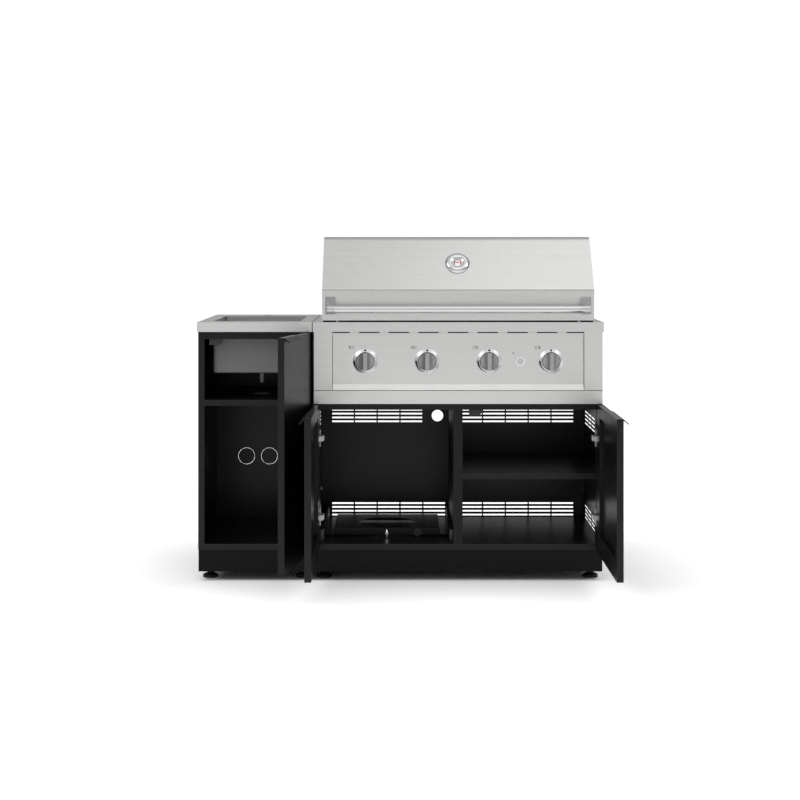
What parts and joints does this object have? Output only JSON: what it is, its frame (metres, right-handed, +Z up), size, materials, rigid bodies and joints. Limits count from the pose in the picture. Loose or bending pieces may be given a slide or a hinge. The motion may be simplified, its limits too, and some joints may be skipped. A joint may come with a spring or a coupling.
{
  "type": "modular outdoor kitchen",
  "caption": "Outdoor kitchen of a sink cabinet beside a gas grill on its own cabinet, with hinged doors, a lifting hood, turning knobs and a pull-out gas cylinder tray.",
  "frame": {"origin": "middle of the base of the whole box, on the floor, with the doors open as they stand", "axes": "+X to the right seen from the front, +Y to the back, +Z up"},
  "size_m": [1.4424, 1.099, 1.211],
  "materials": {
    "stainless": "brushed stainless sheet",
    "black_steel": "satin black powder coat",
    "zinc": "zinc plated",
    "chrome": "polished",
    "satin_metal": "satin",
    "brass": "machined",
    "rubber": "matt",
    "black_plastic": "moulded",
    "grey_plastic": "moulded",
    "white_enamel": "printed dial",
    "red_enamel": "gloss",
    "glass": "clear"
  },
  "bodies": {
    "cabinets": {"sink_worktop": "stainless", "sink_basin": "stainless", "control_panel": "stainless", "apron": "stainless", "grill_rim": "stainless", "burners": "stainless", "flame_tamers": "stainless", "cooking_grates": "stainless", "warming_rack": "stainless", "plinths": "black_steel", "cabinet_floors": "black_steel", "sink_side_left": "black_steel", "sink_side_right": "black_steel", "grill_side_left": "black_steel", "grill_side_right": "black_steel", "sink_back": "black_steel", "grill_back": "black_steel", "shelves": "black_steel", "divider": "black_steel", "carcass_rails": "black_steel", "tray_slides": "black_steel", "grill_casing": "black_steel", "firebox": "black_steel", "module_bolts": "zinc", "door_hinge_arms": "zinc", "gas_manifold": "zinc", "hood_pivots": "zinc", "hood_bumpers": "zinc", "control_bezels": "chrome", "gas_valves": "brass", "levelling_feet": "rubber", "door_catches": "black_plastic", "sink_drain": "grey_plastic"},
    "sink_door": {"sink_door": "black_steel", "sink_door_pull": "black_steel", "sink_door_hinge_cups": "zinc"},
    "left_door": {"left_door": "black_steel", "left_door_pull": "black_steel", "left_door_hinge_cups": "zinc"},
    "right_door": {"right_door": "black_steel", "right_door_pull": "black_steel", "right_door_hinge_cups": "zinc"},
    "tank_tray": {"tank_tray": "black_steel", "tray_runners": "zinc"},
    "tank_clamp_screw": {"tank_clamp_screw": "chrome"},
    "tray_lock_knob": {"tray_lock_knob": "black_plastic"},
    "drip_tray": {"drip_tray": "zinc"},
    "knob_1": {"knob_1": "satin_metal"},
    "knob_2": {"knob_2": "satin_metal"},
    "knob_3": {"knob_3": "satin_metal"},
    "knob_4": {"knob_4": "satin_metal"},
    "igniter_button": {"igniter_button": "chrome"},
    "hood": {"hood_skin": "stainless", "hood_ends": "stainless", "hood_handle_bar": "chrome", "hood_handle_brackets": "stainless", "thermometer_case": "chrome", "thermometer_dial": "white_enamel", "thermometer_lens": "glass"},
    "thermometer_needle": {"thermometer_needle": "red_enamel"}
  },
  "joints": [
    {"name": "sink_door_swing", "type": "hinge", "parent": "cabinets", "child": "sink_door", "pos_m": [-0.32874, -0.0515, 0.4905], "axis": [0, 0, 1], "range_deg": [-80, 2]},
    {"name": "left_door_swing", "type": "hinge", "parent": "cabinets", "child": "left_door", "pos_m": [-0.30674, -0.0515, 0.3645], "axis": [0, 0, -1], "range_deg": [-90, 2]},
    {"name": "right_door_swing", "type": "hinge", "parent": "cabinets", "child": "right_door", "pos_m": [0.69326, -0.0515, 0.3645], "axis": [0, 0, 1], "range_deg": [-90, 10]},
    {"name": "hood_lift", "type": "hinge", "parent": "cabinets", "child": "hood", "pos_m": [0.19326, 0.4795, 0.935], "axis": [-1, 0, 0], "range_deg": [0, 85]},
    {"name": "tank_tray_slide", "type": "slide", "parent": "cabinets", "child": "tank_tray", "axis": [0, -1, 0], "range_m": [0, 0.38]},
    {"name": "clamp_screw_feed", "type": "slide", "parent": "tank_tray", "child": "tank_clamp_screw", "axis": [0, 1, 0], "range_m": [-0.008, 0.012]},
    {"name": "tray_lock_turn", "type": "hinge", "parent": "tank_tray", "child": "tray_lock_knob", "pos_m": [0.05226, 0.1145, 0.148], "axis": [0, 1, 0], "range_deg": [0, 90]},
    {"name": "drip_tray_slide", "type": "slide", "parent": "cabinets", "child": "drip_tray", "axis": [0, 1, 0], "range_m": [0, 0.38]},
    {"name": "igniter_press", "type": "slide", "parent": "cabinets", "child": "igniter_button", "axis": [0, 1, 0], "range_m": [0, 0.003], "stiffness_N_per_m": 900},
    {"name": "thermometer_needle_turn", "type": "hinge", "parent": "hood", "child": "thermometer_needle", "pos_m": [0.19326, 0.02396, 1.11635], "axis": [0, 0.7826, -0.6225], "range_deg": [0, 225]},
    {"name": "knob_1_turn", "type": "hinge", "parent": "cabinets", "child": "knob_1", "pos_m": [-0.13224, -0.0755, 0.775], "axis": [0, -1, 0], "range_deg": [0, 180]},
    {"name": "knob_2_turn", "type": "hinge", "parent": "cabinets", "child": "knob_2", "pos_m": [0.08476, -0.0755, 0.775], "axis": [0, -1, 0], "range_deg": [0, 180]},
    {"name": "knob_3_turn", "type": "hinge", "parent": "cabinets", "child": "knob_3", "pos_m": [0.30176, -0.0755, 0.775], "axis": [0, -1, 0], "range_deg": [0, 180]},
    {"name": "knob_4_turn", "type": "hinge", "parent": "cabinets", "child": "knob_4", "pos_m": [0.51876, -0.0755, 0.775], "axis": [0, -1, 0], "range_deg": [0, 180]}
  ]
}
